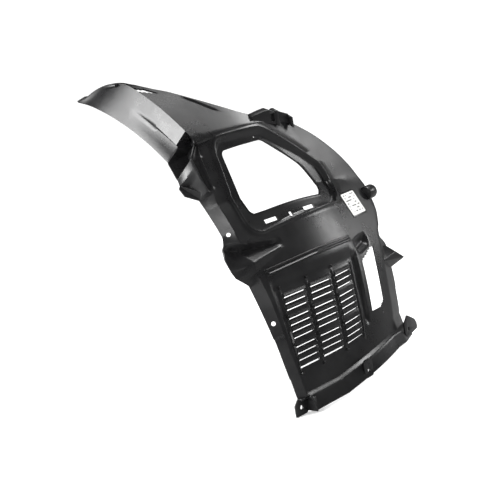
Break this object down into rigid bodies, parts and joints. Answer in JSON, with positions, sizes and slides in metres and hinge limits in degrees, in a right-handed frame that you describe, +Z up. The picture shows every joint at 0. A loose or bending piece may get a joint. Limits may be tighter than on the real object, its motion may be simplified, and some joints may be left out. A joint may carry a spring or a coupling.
{
  "type": "wheel arch liner",
  "caption": "Thin moulded plastic liner for the front part of a wheel arch, with a large access window, a louvred vent field, a scoop, a stub tube and screw tabs.",
  "frame": {"origin": "centre of the screw hole in the outboard tab at the bottom edge, in the middle of the tab's wall", "axes": "+X points forward out of that screw hole, +Y inboard, +Z up; the wheel turns behind the part, toward -X"},
  "size_m": [0.3851, 0.4622, 0.4952],
  "materials": {
    "liner": "black moulded polypropylene, semi-gloss",
    "label": "white paper label, matt"
  },
  "bodies": {
    "root": {"liner": "liner", "label": "label"}
  },
  "joints": []
}
